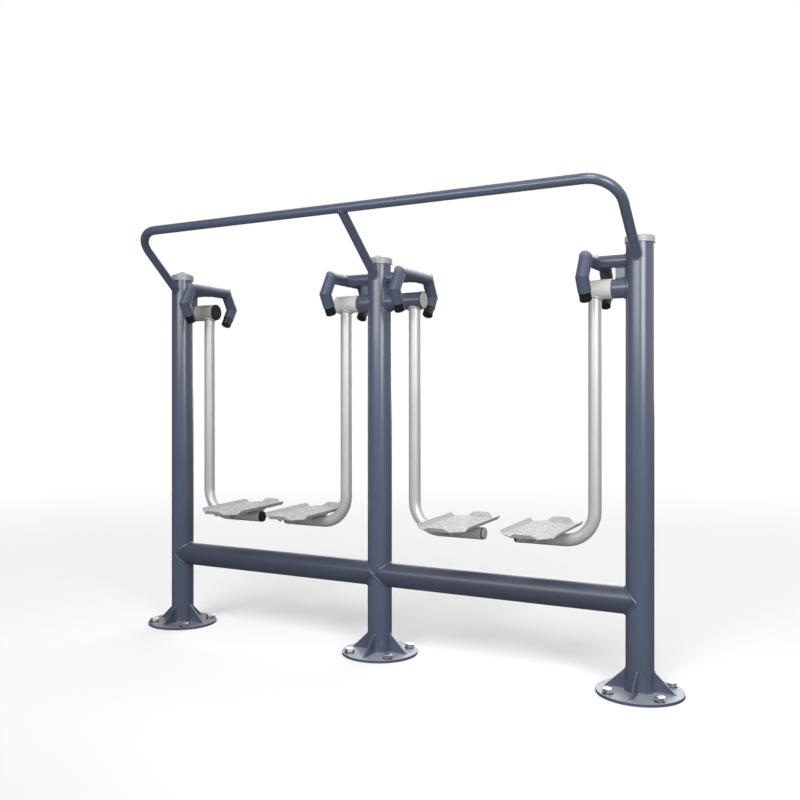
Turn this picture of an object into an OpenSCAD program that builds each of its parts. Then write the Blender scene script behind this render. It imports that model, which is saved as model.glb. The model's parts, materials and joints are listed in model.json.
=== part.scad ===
/* [Layout] */
// Distance between neighbouring post axes
post_spacing = 950; // [900:10:1100]
// Height of the swing axes above the ground
hub_z = 1283; // [1265:1:1300]
// Distance of the swing-arm tubes from their post axis
arm_offset = 145; // [130:1:155]

/* [Posts and base] */
// Outer diameter of the posts
post_d = 88.9; // [76:0.1:95]
// Wall of the post tubes
post_wall = 3.6; // [2.5:0.1:6]
// Height of the post tubes above the ground
post_h = 1440; // [1425:1:1500]
// Diameter of a base plate
plate_d = 275; // [260:1:320]
// Thickness of a base plate
plate_t = 10; // [6:1:16]
// Diameter of the circle through the anchor holes
anchor_circle_d = 228; // [200:1:232]
// Diameter of an anchor hole
anchor_hole_d = 22; // [14:1:26]
// Thickness of a gusset
gusset_t = 6; // [4:1:10]
// Height of a gusset above its base plate
gusset_h = 65; // [40:1:100]
// Distance of a gusset's toe from the post axis
gusset_reach = 110; // [95:1:120]
// Height of the blunt edge at a gusset's toe
gusset_toe = 3; // [1:0.5:8]
// Diameter of the drain hole in a base plate
drain_hole_d = 16; // [8:1:30]

/* [Ground beams] */
// Outer diameter of the beams between the posts
beam_d = 88.9; // [60:0.1:95]
// Wall of the beam tubes
beam_wall = 3.6; // [2.5:0.1:6]
// Height of the beam axis above the ground
beam_z = 290; // [150:5:330]

/* [Post caps] */
// Outer diameter of a cap's skirt
cap_d = 95; // [93:0.1:110]
// Height of a cap's skirt
cap_skirt_h = 23; // [15:1:40]
// Radius of the shoulder between skirt and cone
cap_round = 6; // [3:0.5:7]
// Height of a cap's cone, measured over the full width of the cap
cap_cone_h = 18; // [8:1:30]
// Depth of the post inside its cap
cap_grip = 18; // [10:1:18]

/* [Handrail] */
// Outer diameter of the handrail and its strut
rail_d = 33.7; // [26:0.1:42.4]
// Wall of the handrail tube
rail_wall = 2.6; // [2:0.1:4]
// Height of the handrail's axis above the ground
rail_z = 1581; // [1560:1:1620]
// Distance of the handrail's axis in front of the posts' axes
rail_reach = 267; // [200:1:300]
// Slope of the handrail's legs below level
rail_slope = 41.2; // [36:0.1:45]
// Bend radius of the handrail at its axis
rail_bend_r = 100; // [60:1:140]

/* [Hubs] */
// Outer diameter of a hub and of the stub beside it
hub_d = 63.5; // [60.3:0.1:70]
// Distance of a stub's end from the post axis
stub_end = 85; // [75:1:90]
// Gap between a stub and its hub
hub_gap = 1.5; // [0.5:0.1:3]
// Length of a hub tube
hub_l = 91.5; // [88:0.5:110]
// Thickness of a hub cap's rim
hub_cap_t = 3; // [1.5:0.1:5]
// Diameter of the raised disc on a hub cap
hub_disc_d = 57.5; // [40:0.5:58]
// Height of the raised disc above the rim
hub_disc_t = 1.5; // [1:0.1:4]
// Diameter of the axle in the bearings
axle_d = 25; // [20:1:25]
// Outer diameter of a ball bearing
bearing_d = 52; // [50:0.1:53]
// Width of a ball bearing
bearing_w = 15; // [12:1:15]

/* [Swing arms] */
// Outer diameter of a swing-arm tube
arm_d = 42.4; // [33.7:0.1:44]
// Wall of a swing-arm tube
arm_wall = 3.2; // [2:0.1:5]
// Depth of the foot tube's axis below the hub axis
arm_drop = 817; // [780:1:850]
// Bend radius of a swing arm at its axis
arm_bend_r = 100; // [80:1:110]
// Distance of the foot tube's end from the post axis
foot_end = 410; // [400:1:425]
// Length of the plug that shows beyond the foot tube
plug_l = 9; // [6:1:15]
// Length of the plug's collar, which is as wide as the tube
plug_collar_l = 4.5; // [2:0.5:5]

/* [Pedals] */
// Distance of a pedal's middle from the post axis
pedal_x = 322; // [315:1:340]
// Width of a pedal's floor
pedal_w = 166; // [130:1:190]
// Length of a pedal's floor
pedal_l = 352; // [330:1:380]
// Length of a cut corner of the floor, measured along each side
pedal_corner = 37; // [25:1:40]
// Thickness of the pedal's sheet
pedal_sheet = 3; // [2:0.5:5]
// Width of a pedal's turned-up flange
flange_w = 16; // [10:1:25]
// Angle by which a flange is turned up
flange_angle = 50; // [30:1:80]
// Radius inside the bend of a flange
flange_bend_r = 3; // [1:0.5:6]
// Rise of a pedal towards its heel
pedal_tilt = 2; // [0:0.5:4]
// Spacing of the pedal bolts across the pedal
bolt_dx = 57; // [50:1:70]
// Spacing of the pedal bolts along the pedal
bolt_dy = 266; // [240:1:290]
// Diameter of a pedal bolt
bolt_d = 8; // [6:1:10]
// Thickness of a pedal bearer's web
bearer_web_t = 6; // [4:1:8]
// Thickness of a pedal bearer's flange
bearer_t = 6; // [4:1:8]

/* [Stop forks] */
// Distance of the stop forks from their post axis
fork_offset = 142.5; // [130:0.5:155]
// Outer diameter of the fork tubes
fork_d = 42.4; // [38:0.1:46]
// Wall of the fork tubes
fork_wall = 3.2; // [2:0.1:5]
// Height of the fork's cross tube above the hub axis
fork_rise = 88; // [84:1:100]
// Half the length of the cross tube between its mitres
fork_half = 107; // [100:1:120]
// Length of the upper leg between its mitres
fork_upper_l = 74.5; // [70:0.5:90]
// Lean of the upper leg from upright, outwards
fork_upper_lean = 30; // [28:1:35]
// Length of the lower leg from its mitre to its end
fork_lower_l = 48; // [40:1:50]
// Lean of the lower leg from upright, inwards
fork_lower_lean = 30; // [20:0.5:30]
// Diameter of the rubber buffer
buffer_d = 39; // [37:0.5:42]
// Length of the rubber buffer that shows below a leg
buffer_l = 32; // [20:1:35]
// Reach of the web plate from the post axis
web_reach = 77; // [60:1:82]
// Thickness of the web plate
web_t = 8; // [5:1:12]

/* [Hidden] */
$fn = 64;

// Paints and finishes
frame_paint = "#5a667c";
arm_paint = "#b9b9b8";
cap_grey = "#c9cac9";
pedal_zinc = "#c4c3c4";
rubber = "#26282a";
steel = "#d5d8dc";

// Cuts run past the faces they open by this much
overrun = 10;
// Radial clearance of a running or sliding fit
fit = 0.05;
// Root gap that a weld closes
weld_gap = 0.2;
// Clearance of a loose plug or cap in its tube
loose = 0.2;
// Small break on turned edges
edge = 1;

post_r = post_d / 2;
hub_start = stub_end + hub_gap;
hub_end = hub_start + hub_l;
foot_z = hub_z - arm_drop;

// Axle and bearings, with places measured from the post axis
axle_shoulder = 2.5;
stub_bore_d = axle_d + 2 * axle_shoulder;
bearing_lip = 3.5;
bearing_1 = hub_start + bearing_lip;
bearing_2 = hub_end - 2 * bearing_w;
hub_shoulder = 3;
shoulder_d = bearing_d - 2 * hub_shoulder;
race_in_t = 3.5;
race_out_t = 3;
race_in_d = axle_d + 2 * race_in_t;
race_out_d = bearing_d - 2 * race_out_t;
ball_d = 7.9;
ball_count = 9;
ball_circle_d = (race_in_d + race_out_d) / 2;
groove_clear = 0.1;
seal_t = 1.2;
seal_gap = 0.3;
washer_inset = 0.5;
washer_d = race_in_d - 2 * washer_inset;
washer_t = 2.5;
nut_wall = 5.5;
nut_af = axle_d + 2 * nut_wall;
nut_h = 8.5;
cap_spigot_l = 10;
cap_spigot_wall = 2.4;

// Pedal hardware
bearer_w = 28;
bearer_end = 13;
bearer_l = bolt_dy + 2 * bearer_end;
bearer_web_inset = 16;
bearer_web_half = bolt_dy / 2 - bearer_web_inset;
bearer_foot_l = 16;
bearer_foot_half = arm_d / 2 + bearer_foot_l;
bearer_foot_drop = 9;
bolt_head_d = 1.5 * bolt_d;
bolt_head_h = 0.25 * bolt_d;
bolt_nut_wall = 2.5;
bolt_nut_af = bolt_d + 2 * bolt_nut_wall;
bolt_nut_h = 0.8 * bolt_d;
bolt_tail = 2;
flange_round = 7;
flange_root = 6;
bend_steps = 5;
round_steps = 5;
end_flange_taper = 17;
side_flange_taper = 2;
pan_z = arm_d / 2 + bearer_t;

// Stop fork
cross_turn = 90 - fork_upper_lean;
knee_turn = fork_upper_lean + fork_lower_lean;
spigot_l = 22;
buffer_edge = 3;

// A straight tube along Z
module tube(d, wall, l) {
    difference() {
        cylinder(d = d, h = l);
        translate([0, 0, -overrun])
            cylinder(d = d - 2 * wall, h = l + 2 * overrun);
    }
}

// A quarter bend that starts at the origin along Z and turns towards X
module quarter_bend(d, wall, r) {
    translate([r, 0, 0])
        rotate([90, 0, 180])
            rotate_extrude(angle = 90)
                translate([r, 0])
                    difference() {
                        circle(d = d);
                        circle(d = d - 2 * wall);
                    }
}

// A tube along Z whose ends are cut on mitres, each turned about X
module mitred_tube(d, wall, l, start_turn, end_turn) {
    block = 4 * d;
    difference() {
        translate([0, 0, -d])
            tube(d, wall, l + 2 * d);
        rotate([start_turn, 0, 0])
            translate([-block / 2, -block / 2, -block])
                cube(block);
        translate([0, 0, l])
            rotate([-end_turn, 0, 0])
                translate([-block / 2, -block / 2, 0])
                    cube(block);
    }
}

// A solid bar along X at a height, used to cope what meets it
module bar_x(d, x_from, x_to, z) {
    translate([x_from, 0, z])
        rotate([0, 90, 0])
            cylinder(d = d, h = x_to - x_from);
}

// The space that a post fills
module post_space(x) {
    translate([x, 0, -overrun])
        cylinder(d = post_d + 2 * weld_gap, h = post_h + 2 * overrun);
}

// Places children at a station: 1 and 3 stand right of their post, 2 and 4 left
module at_station(k) {
    x = [-post_spacing, 0, 0, post_spacing][k - 1];
    translate([x, 0, 0])
        mirror([k % 2 == 0 ? 1 : 0, 0, 0])
            children();
}

module post(x) {
    color(frame_paint)
        translate([x, 0, plate_t])
            tube(post_d, post_wall, post_h - plate_t);
}

module base_plate(x) {
    color(frame_paint)
        translate([x, 0, 0])
            difference() {
                union() {
                    cylinder(d = plate_d, h = plate_t - edge);
                    translate([0, 0, plate_t - edge])
                        cylinder(d1 = plate_d, d2 = plate_d - 2 * edge, h = edge, $fn = 96);
                }
                for (a = [45:90:315])
                    rotate([0, 0, a])
                        translate([anchor_circle_d / 2, 0, -overrun])
                            cylinder(d = anchor_hole_d, h = plate_t + 2 * overrun);
                translate([0, 0, -overrun])
                    cylinder(d = drain_hole_d, h = plate_t + 2 * overrun);
            }
}

module gusset() {
    difference() {
        rotate([90, 0, 0])
            linear_extrude(gusset_t, center = true)
                polygon([
                    [0, plate_t],
                    [gusset_reach, plate_t],
                    [gusset_reach, plate_t + gusset_toe],
                    [post_r, plate_t + gusset_h],
                    [0, plate_t + gusset_h]
                ]);
        post_space(0);
    }
}

module base_gussets() {
    color(frame_paint)
        for (x = [-post_spacing, 0, post_spacing])
            for (a = [0:90:270])
                translate([x, 0, 0])
                    rotate([0, 0, a])
                        gusset();
}

module post_cap(x) {
    roof_d = post_d + 2 * fit;
    skirt_z = post_h - cap_grip;
    top_z = skirt_z + cap_skirt_h;
    wall = (cap_d - roof_d) / 2;
    slope = atan(cap_cone_h / (cap_d / 2));
    round_x = cap_d / 2 - cap_round;
    round_z = top_z - cap_round;
    cone_x = round_x + cap_round * sin(slope);
    cone_z = round_z + cap_round * cos(slope);
    peak_z = cone_z + cone_x * tan(slope);
    color(cap_grey)
        translate([x, 0, 0])
            rotate_extrude()
                difference() {
                    union() {
                        polygon([
                            [0, skirt_z],
                            [cap_d / 2, skirt_z],
                            [cap_d / 2, round_z],
                            [cone_x, cone_z],
                            [0, peak_z]
                        ]);
                        translate([round_x, round_z])
                            circle(r = cap_round);
                    }
                    polygon([
                        [0, skirt_z - overrun],
                        [roof_d / 2, skirt_z - overrun],
                        [roof_d / 2, post_h],
                        [roof_d / 2 - post_wall, post_h],
                        [0, peak_z - wall]
                    ]);
                }
}

module beam(x_from, x_to) {
    color(frame_paint)
        difference() {
            translate([x_from, 0, beam_z])
                rotate([0, 90, 0])
                    tube(beam_d, beam_wall, x_to - x_from);
            post_space(x_from);
            post_space(x_to);
        }
}

// Turns what lies flat, with its legs towards -Y, to the slope of the handrail
module on_rail_slope() {
    translate([0, -rail_reach, rail_z])
        rotate([180 - rail_slope, 0, 0])
            children();
}

module handrail() {
    run = 2 * (post_spacing - rail_bend_r);
    leg = rail_reach / cos(rail_slope);
    color(frame_paint)
        difference() {
            on_rail_slope()
                union() {
                    translate([-run / 2, 0, 0])
                        rotate([0, 90, 0])
                            tube(rail_d, rail_wall, run);
                    for (side = [0, 1])
                        mirror([side, 0, 0])
                            translate([post_spacing, -rail_bend_r, 0]) {
                                translate([-rail_bend_r, 0, 0])
                                    rotate_extrude(angle = 90)
                                        translate([rail_bend_r, 0])
                                            difference() {
                                                circle(d = rail_d);
                                                circle(d = rail_d - 2 * rail_wall);
                                            }
                                rotate([90, 0, 0])
                                    tube(rail_d, rail_wall, leg - rail_bend_r);
                            }
                }
            post_space(-post_spacing);
            post_space(post_spacing);
        }
}

module handrail_strut() {
    leg = rail_reach / cos(rail_slope);
    color(frame_paint)
        difference() {
            on_rail_slope()
                rotate([90, 0, 0])
                    tube(rail_d, rail_wall, leg);
            post_space(0);
            translate([0, -rail_reach, 0])
                bar_x(rail_d + 2 * weld_gap, -post_spacing / 2, post_spacing / 2, rail_z);
        }
}

module axle_stubs() {
    color(frame_paint)
        for (k = [1:4])
            at_station(k)
                difference() {
                    union() {
                        bar_x(hub_d, 0, stub_end - edge, hub_z);
                        translate([stub_end - edge, 0, hub_z])
                            rotate([0, 90, 0])
                                cylinder(d1 = hub_d, d2 = hub_d - 2 * edge, h = edge);
                    }
                    bar_x(stub_bore_d, -overrun, stub_end + overrun, hub_z);
                    post_space(0);
                }
}

module axles() {
    color(steel)
        for (k = [1:4])
            at_station(k)
                difference() {
                    union() {
                        bar_x(stub_bore_d, 0, stub_end, hub_z);
                        bar_x(axle_d, stub_end, bearing_2 + bearing_w + washer_t + nut_h, hub_z);
                    }
                    post_space(0);
                }
}

// A ring along X round the hub axis
module ring_x(d_out, d_in, x_from, x_to) {
    difference() {
        bar_x(d_out, x_from, x_to, hub_z);
        bar_x(d_in, x_from - overrun, x_to + overrun, hub_z);
    }
}

// The groove that the balls of a bearing run in
module ball_groove(x_from) {
    translate([x_from + bearing_w / 2, 0, hub_z])
        rotate([0, 90, 0])
            rotate_extrude()
                translate([ball_circle_d / 2, 0])
                    circle(d = ball_d + 2 * groove_clear);
}

module bearing_inner_rings() {
    color(steel)
        for (k = [1:4])
            for (x = [bearing_1, bearing_2])
                at_station(k)
                    difference() {
                        ring_x(race_in_d, axle_d, x, x + bearing_w);
                        ball_groove(x);
                    }
}

module axle_spacers() {
    color(steel)
        for (k = [1:4])
            at_station(k) {
                ring_x(race_in_d, axle_d, stub_end, bearing_1);
                ring_x(race_in_d, axle_d, bearing_1 + bearing_w, bearing_2);
            }
}

module axle_washers() {
    color(steel)
        for (k = [1:4])
            at_station(k)
                ring_x(washer_d, axle_d, bearing_2 + bearing_w, bearing_2 + bearing_w + washer_t);
}

module axle_nuts() {
    nut_x = bearing_2 + bearing_w + washer_t;
    color(steel)
        for (k = [1:4])
            at_station(k)
                difference() {
                    translate([nut_x, 0, hub_z])
                        rotate([0, 90, 0])
                            cylinder(d = nut_af / cos(30), h = nut_h, $fn = 6);
                    bar_x(axle_d, nut_x - overrun, nut_x + nut_h + overrun, hub_z);
                }
}

// Places children at the end of a fork's lower leg, pointing out of it
module at_leg_end() {
    translate([0, fork_half, 0])
        rotate([180 + fork_upper_lean, 0, 0])
            translate([0, 0, fork_upper_l])
                rotate([-knee_turn, 0, 0])
                    translate([0, 0, fork_lower_l])
                        children();
}

module fork_side() {
    translate([0, fork_half, 0])
        rotate([180 + fork_upper_lean, 0, 0]) {
            mitred_tube(fork_d, fork_wall, fork_upper_l, cross_turn / 2, knee_turn / 2);
            translate([0, 0, fork_upper_l])
                rotate([-knee_turn, 0, 0])
                    mitred_tube(fork_d, fork_wall, fork_lower_l, knee_turn / 2, 0);
        }
}

module stop_fork(k) {
    color(frame_paint)
        at_station(k)
            translate([fork_offset, 0, hub_z + fork_rise]) {
                translate([0, -fork_half, 0])
                    rotate([-90, 0, 0])
                        mitred_tube(fork_d, fork_wall, 2 * fork_half,
                            cross_turn / 2, cross_turn / 2);
                for (side = [0, 1])
                    mirror([0, side, 0])
                        fork_side();
            }
}

module stop_fork_arms() {
    top_z = hub_z + fork_rise;
    color(frame_paint)
        for (k = [1:4])
            at_station(k)
                difference() {
                    translate([0, 0, top_z])
                        rotate([0, 90, 0])
                            tube(fork_d, fork_wall, fork_offset);
                    post_space(0);
                    translate([fork_offset, -fork_half, top_z])
                        rotate([-90, 0, 0])
                            cylinder(d = fork_d + 2 * weld_gap, h = 2 * fork_half);
                }
}

module stop_fork_webs() {
    color(frame_paint)
        for (k = [1:4])
            at_station(k)
                difference() {
                    translate([0, -web_t / 2, hub_z])
                        cube([web_reach, web_t, fork_rise]);
                    post_space(0);
                    bar_x(hub_d + 2 * weld_gap, -overrun, web_reach + overrun, hub_z);
                    bar_x(fork_d + 2 * weld_gap, -overrun, web_reach + overrun, hub_z + fork_rise);
                }
}

module stop_buffers() {
    spigot_d = fork_d - 2 * fork_wall - 2 * loose;
    color(rubber)
        for (k = [1:4])
            at_station(k)
                translate([fork_offset, 0, hub_z + fork_rise])
                    for (side = [0, 1])
                        mirror([0, side, 0])
                            at_leg_end()
                                rotate_extrude()
                                    polygon([
                                        [0, -spigot_l],
                                        [spigot_d / 2, -spigot_l],
                                        [spigot_d / 2, 0],
                                        [buffer_d / 2, 0],
                                        [buffer_d / 2, buffer_l - buffer_edge],
                                        [buffer_d / 2 - buffer_edge, buffer_l],
                                        [0, buffer_l]
                                    ]);
}

module hub(k) {
    color(k == 3 ? frame_paint : arm_paint)
        at_station(k)
            difference() {
                union() {
                    translate([hub_start, 0, hub_z])
                        rotate([0, 90, 0])
                            cylinder(d1 = hub_d - 2 * edge, d2 = hub_d, h = edge);
                    bar_x(hub_d, hub_start + edge, hub_end, hub_z);
                }
                bar_x(bearing_d, hub_start - overrun, bearing_1 + bearing_w, hub_z);
                bar_x(shoulder_d, hub_start, hub_end, hub_z);
                bar_x(bearing_d, bearing_2, hub_end + overrun, hub_z);
            }
}

module arm_tube(k) {
    drop = arm_drop - arm_bend_r;
    foot_start = arm_offset + arm_bend_r;
    color(arm_paint)
        at_station(k)
            difference() {
                union() {
                    translate([arm_offset, 0, hub_z - drop])
                        tube(arm_d, arm_wall, drop);
                    translate([arm_offset, 0, hub_z - drop])
                        mirror([0, 0, 1])
                            quarter_bend(arm_d, arm_wall, arm_bend_r);
                    translate([foot_start, 0, foot_z])
                        rotate([0, 90, 0])
                            tube(arm_d, arm_wall, foot_end - foot_start);
                }
                bar_x(hub_d + 2 * weld_gap, 0, 2 * hub_end, hub_z);
            }
}

module hub_cap(k) {
    spigot_d = bearing_d - 2 * fit;
    color(k == 1 ? rubber : cap_grey)
        at_station(k)
            translate([hub_end, 0, hub_z])
                rotate([0, 90, 0])
                    rotate_extrude()
                        polygon([
                            [0, -cap_spigot_wall / 2],
                            [spigot_d / 2 - cap_spigot_wall, -cap_spigot_wall / 2],
                            [spigot_d / 2 - cap_spigot_wall, -cap_spigot_l],
                            [spigot_d / 2, -cap_spigot_l],
                            [spigot_d / 2, 0],
                            [hub_d / 2, 0],
                            [hub_d / 2, hub_cap_t - edge],
                            [hub_d / 2 - edge, hub_cap_t],
                            [hub_disc_d / 2, hub_cap_t],
                            [hub_disc_d / 2 - hub_disc_t / 2, hub_cap_t + hub_disc_t],
                            [0, hub_cap_t + hub_disc_t]
                        ]);
}

module foot_tube_plug(k) {
    spigot_d = arm_d - 2 * arm_wall - 2 * loose;
    color(k == 3 ? cap_grey : rubber)
        at_station(k)
            translate([foot_end, 0, foot_z])
                rotate([0, 90, 0])
                    rotate_extrude()
                        polygon([
                            [0, -spigot_l],
                            [spigot_d / 2, -spigot_l],
                            [spigot_d / 2, 0],
                            [arm_d / 2, 0],
                            [arm_d / 2, plug_collar_l],
                            [arm_d / 2 - edge, plug_collar_l],
                            [arm_d / 2 - edge, plug_l - edge],
                            [arm_d / 2 - 2 * edge, plug_l],
                            [0, plug_l]
                        ]);
}

// Places children on a foot tube, turned with the pedal about the tube's axis
module at_pedal(k) {
    at_station(k)
        translate([pedal_x, 0, foot_z])
            rotate([pedal_tilt, 0, 0])
                children();
}

module bolt_places() {
    for (x = [-bolt_dx / 2, bolt_dx / 2])
        for (y = [-bolt_dy / 2, bolt_dy / 2])
            translate([x, y, 0])
                children();
}

// Points along an arc about a centre, between two angles
function arc(centre, r, from, to, steps) =
    [for (i = [0:steps])
        let (a = from + (to - from) * i / steps)
            centre + r * [cos(a), sin(a)]];

// Section of a flange: a flat root on the floor, the bend and the turned-up leg
module flange_section() {
    centre = [0, pedal_sheet + flange_bend_r];
    outer_r = flange_bend_r + pedal_sheet;
    leg = flange_w * [cos(flange_angle), sin(flange_angle)];
    outer = arc(centre, outer_r, -90, flange_angle - 90, bend_steps);
    inner = arc(centre, flange_bend_r, flange_angle - 90, -90, bend_steps);
    polygon(concat(
        [[-flange_root, 0]],
        outer,
        [outer[bend_steps] + leg, inner[0] + leg],
        inner,
        [[-flange_root, pedal_sheet]]
    ));
}

// What is cut off one end of a flange's face, so that it tapers to a rounded corner
module flange_cut(l, taper) {
    rise = flange_w - edge;
    side = norm([taper, rise]);
    round_x = l / 2 - taper - flange_round * (side - taper) / rise;
    polygon(concat(
        [[l / 2 + overrun, edge], [l / 2, edge]],
        arc([round_x, flange_w - flange_round], flange_round, atan2(taper, rise), 90, round_steps),
        [[round_x, flange_w + overrun], [l / 2 + overrun, flange_w + overrun]]
    ));
}

// A flange of the pedal, which rises from the floor's edge on the X axis towards Y
module pedal_flange(l, taper) {
    bend_r = flange_bend_r + pedal_sheet / 2;
    difference() {
        rotate([90, 0, 90])
            linear_extrude(l, center = true)
                flange_section();
        translate([
            0,
            bend_r * sin(flange_angle),
            pedal_sheet + flange_bend_r - bend_r * cos(flange_angle)
        ])
            rotate([flange_angle, 0, 0])
                linear_extrude(2 * overrun, center = true)
                    for (side = [0, 1])
                        mirror([side, 0])
                            flange_cut(l, taper);
    }
}

module pedal(k) {
    half_w = pedal_w / 2;
    half_l = pedal_l / 2;
    color(pedal_zinc)
        at_pedal(k)
            difference() {
                union() {
                    translate([0, 0, pan_z])
                        linear_extrude(pedal_sheet)
                            polygon([
                                [-half_w, -half_l + pedal_corner],
                                [-half_w + pedal_corner, -half_l],
                                [half_w - pedal_corner, -half_l],
                                [half_w, -half_l + pedal_corner],
                                [half_w, half_l - pedal_corner],
                                [half_w - pedal_corner, half_l],
                                [-half_w + pedal_corner, half_l],
                                [-half_w, half_l - pedal_corner]
                            ]);
                    for (a = [0, 180])
                        rotate([0, 0, a]) {
                            translate([0, half_l, pan_z])
                                pedal_flange(pedal_w - 2 * pedal_corner, end_flange_taper);
                            rotate([0, 0, 90])
                                translate([0, half_w, pan_z])
                                    pedal_flange(pedal_l - 2 * pedal_corner, side_flange_taper);
                        }
                }
                bolt_places()
                    translate([0, 0, pan_z - overrun])
                        cylinder(d = bolt_d + 2 * loose, h = 2 * overrun);
            }
}

module pedal_bearers(k) {
    color(arm_paint)
        at_pedal(k)
            for (x = [-bolt_dx / 2, bolt_dx / 2])
                translate([x, 0, 0])
                    difference() {
                        union() {
                            translate([-bearer_w / 2, -bearer_l / 2, arm_d / 2])
                                cube([bearer_w, bearer_l, bearer_t]);
                            rotate([90, 0, 90])
                                linear_extrude(bearer_web_t, center = true)
                                    polygon([
                                        [-bearer_web_half, arm_d / 2 + bearer_t / 2],
                                        [-bearer_web_half, arm_d / 2 - bearer_t / 2],
                                        [-bearer_foot_half, -bearer_foot_drop],
                                        [bearer_foot_half, -bearer_foot_drop],
                                        [bearer_web_half, arm_d / 2 - bearer_t / 2],
                                        [bearer_web_half, arm_d / 2 + bearer_t / 2]
                                    ]);
                        }
                        translate([-bearer_w, 0, 0])
                            rotate([0, 90, 0])
                                cylinder(d = arm_d + 2 * weld_gap, h = 2 * bearer_w);
                        for (y = [-bolt_dy / 2, bolt_dy / 2])
                            translate([0, y, 0])
                                cylinder(d = bolt_d + 2 * loose, h = pan_z + overrun);
                    }
}

module pedal_fasteners(k) {
    top = pan_z + pedal_sheet;
    nut_z = pan_z - bearer_t - bolt_nut_h;
    color(steel)
        at_pedal(k)
            bolt_places() {
                translate([0, 0, nut_z - bolt_tail])
                    cylinder(d = bolt_d, h = top - nut_z + bolt_tail);
                translate([0, 0, top])
                    cylinder(d1 = bolt_head_d, d2 = bolt_head_d - bolt_head_h, h = bolt_head_h);
                difference() {
                    translate([0, 0, nut_z])
                        cylinder(d = bolt_nut_af / cos(30), h = bolt_nut_h, $fn = 6);
                    cylinder(d = bolt_d + 2 * fit, h = 2 * pan_z, center = true);
                }
            }
}

module bearing_outer_rings(k) {
    ball_r = ball_circle_d / 2;
    color(steel)
        at_station(k)
            for (x = [bearing_1, bearing_2]) {
                difference() {
                    bar_x(bearing_d, x, x + bearing_w, hub_z);
                    bar_x(race_in_d + 2 * seal_gap, x - overrun, x + bearing_w + overrun, hub_z);
                    bar_x(race_out_d, x + seal_t, x + bearing_w - seal_t, hub_z);
                    ball_groove(x);
                }
                for (i = [0:ball_count - 1])
                    translate([x + bearing_w / 2, 0, hub_z])
                        rotate([i * 360 / ball_count, 0, 0])
                            translate([0, 0, ball_r])
                                sphere(d = ball_d);
            }
}

post(-post_spacing);  // left_post
post(0);  // centre_post
post(post_spacing);  // right_post
beam(-post_spacing, 0);  // left_beam
beam(0, post_spacing);  // right_beam
base_plate(-post_spacing);  // left_base_plate
base_plate(0);  // centre_base_plate
base_plate(post_spacing);  // right_base_plate
base_gussets();
post_cap(-post_spacing);  // left_post_cap
post_cap(0);  // centre_post_cap
post_cap(post_spacing);  // right_post_cap
handrail();
handrail_strut();
axle_stubs();
axles();
bearing_inner_rings();
axle_spacers();
axle_washers();
axle_nuts();
stop_fork(1);  // stop_fork_1
stop_fork(2);  // stop_fork_2
stop_fork(3);  // stop_fork_3
stop_fork(4);  // stop_fork_4
stop_fork_arms();
stop_fork_webs();
stop_buffers();
hub(1);  // hub_1
arm_tube(1);  // arm_tube_1
hub_cap(1);  // hub_cap_1
foot_tube_plug(1);  // foot_tube_plug_1
pedal(1);  // pedal_1
pedal_bearers(1);  // pedal_bearers_1
pedal_fasteners(1);  // pedal_fasteners_1
bearing_outer_rings(1);  // bearing_outer_rings_1
hub(2);  // hub_2
arm_tube(2);  // arm_tube_2
hub_cap(2);  // hub_cap_2
foot_tube_plug(2);  // foot_tube_plug_2
pedal(2);  // pedal_2
pedal_bearers(2);  // pedal_bearers_2
pedal_fasteners(2);  // pedal_fasteners_2
bearing_outer_rings(2);  // bearing_outer_rings_2
hub(3);  // hub_3
arm_tube(3);  // arm_tube_3
hub_cap(3);  // hub_cap_3
foot_tube_plug(3);  // foot_tube_plug_3
pedal(3);  // pedal_3
pedal_bearers(3);  // pedal_bearers_3
pedal_fasteners(3);  // pedal_fasteners_3
bearing_outer_rings(3);  // bearing_outer_rings_3
hub(4);  // hub_4
arm_tube(4);  // arm_tube_4
hub_cap(4);  // hub_cap_4
foot_tube_plug(4);  // foot_tube_plug_4
pedal(4);  // pedal_4
pedal_bearers(4);  // pedal_bearers_4
pedal_fasteners(4);  // pedal_fasteners_4
bearing_outer_rings(4);  // bearing_outer_rings_4
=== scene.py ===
import json
import math

import bmesh
import bpy
from mathutils import Matrix, Vector


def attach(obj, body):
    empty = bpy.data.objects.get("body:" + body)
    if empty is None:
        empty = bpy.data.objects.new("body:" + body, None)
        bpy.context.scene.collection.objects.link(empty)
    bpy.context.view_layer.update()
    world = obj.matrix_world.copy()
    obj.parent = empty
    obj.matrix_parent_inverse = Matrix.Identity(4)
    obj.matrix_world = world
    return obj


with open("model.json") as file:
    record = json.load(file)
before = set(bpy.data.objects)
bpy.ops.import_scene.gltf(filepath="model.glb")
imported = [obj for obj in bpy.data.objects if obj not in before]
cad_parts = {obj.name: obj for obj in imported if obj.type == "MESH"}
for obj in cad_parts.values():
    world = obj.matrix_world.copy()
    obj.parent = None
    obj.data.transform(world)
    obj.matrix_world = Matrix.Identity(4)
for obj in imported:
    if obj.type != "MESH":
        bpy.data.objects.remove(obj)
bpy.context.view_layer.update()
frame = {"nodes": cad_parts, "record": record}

nodes = frame["nodes"]
scene = bpy.context.scene

# where things stand on the walker, in metres
postSpacing = 0.95
layout = {
    "posts": [-postSpacing, 0.0, postSpacing],
    "postR": 0.04445,
    "plateT": 0.010,
    # station number: its post, and the side of the post that it is on
    "stations": {1: (-postSpacing, 1), 2: (0.0, -1), 3: (0.0, 1), 4: (postSpacing, -1)},
    "beamZ": 0.290,
    "hubZ": 1.283,
    "hubR": 0.03175,
    "armX": 0.145,
    "armR": 0.0212,
    "footZ": 0.466,
    "footEnd": 0.410,
    "pedalX": 0.322,
    "panTiltDeg": 2.0,
    "forkX": 0.1425,
    "forkRise": 0.088,
    "forkR": 0.0212,
}


# node helpers for materials, the world and geometry trees

pureWhite = (1.0, 1.0, 1.0, 1.0)
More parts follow.
